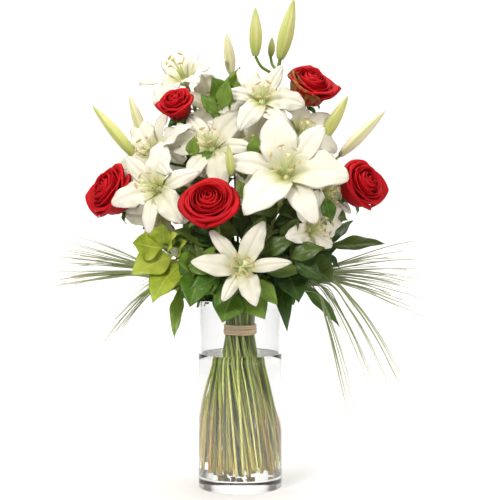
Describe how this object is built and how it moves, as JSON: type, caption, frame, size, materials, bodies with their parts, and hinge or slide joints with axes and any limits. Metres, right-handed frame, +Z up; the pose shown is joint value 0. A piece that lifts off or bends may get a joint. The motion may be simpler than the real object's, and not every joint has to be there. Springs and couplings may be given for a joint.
{
  "type": "lilies in a vase",
  "caption": "Hand-tied bouquet of open white lilies, lily buds, red roses, mixed leaves and fine bear grass, standing in a clear glass cylinder vase about two-thirds full of water.",
  "frame": {"origin": "middle of the vase's flat underside, where it stands", "axes": "+Z up along the vase's axis; -Y is the front, the side the main lily and the main rose face; +X is to the right seen from the front"},
  "size_m": [0.478, 0.27, 0.64],
  "materials": {
    "clear_glass": "gloss",
    "water": "gloss",
    "raffia": "matte",
    "lily_petal": "satin",
    "lily_style": "satin",
    "lily_bud": "satin",
    "rose_petal": "matte",
    "stem": "satin",
    "leaf_light": "satin",
    "leaf_mid": "satin",
    "leaf_dark": "satin",
    "grass": "satin"
  },
  "bodies": {
    "root": {"vase": "clear_glass", "water": "water", "raffia_tie": "raffia", "lily_front": "lily_petal", "lily_front_pistil": "lily_style", "lily_right_large": "lily_petal", "lily_right_large_pistil": "lily_style", "lily_right_low": "lily_petal", "lily_right_low_pistil": "lily_style", "lily_left_upper": "lily_petal", "lily_left_upper_pistil": "lily_style", "lily_left": "lily_petal", "lily_left_pistil": "lily_style", "lily_top": "lily_petal", "lily_top_pistil": "lily_style", "lily_upper_left": "lily_petal", "lily_upper_left_pistil": "lily_style", "lily_back_right": "lily_petal", "lily_back_right_pistil": "lily_style", "lily_back_left": "lily_petal", "lily_back_left_pistil": "lily_style", "bud_top_left": "lily_bud", "bud_top_right": "lily_bud", "bud_top_small": "lily_bud", "bud_top_pale": "lily_bud", "bud_right_green": "lily_bud", "bud_right_cream": "lily_bud", "bud_left_green": "lily_bud", "bud_left_pale": "lily_bud", "bud_middle": "lily_bud", "lily_stem_front": "stem", "lily_stem_right": "stem", "lily_stem_left": "stem", "lily_stem_top": "stem", "lily_stem_back": "stem", "rose_front": "rose_petal", "rose_stem_front": "stem", "rose_left": "rose_petal", "rose_stem_left": "stem", "rose_upper_left": "rose_petal", "rose_stem_upper_left": "stem", "rose_upper_right": "rose_petal", "rose_stem_upper_right": "stem", "rose_right": "rose_petal", "rose_stem_right": "stem", "sprig_left_light": "leaf_light", "sprig_front_left": "leaf_mid", "sprig_front": "leaf_mid", "sprig_right_dark": "leaf_dark", "sprig_right_low": "leaf_mid", "sprig_left_low": "leaf_mid", "sprig_right_long": "leaf_dark", "sprig_top": "leaf_mid", "sprig_back_left": "leaf_mid", "sprig_back_right": "leaf_dark", "bear_grass_left": "grass", "bear_grass_right": "grass", "bear_grass_drooping": "grass", "bear_grass_back": "grass"}
  },
  "joints": []
}
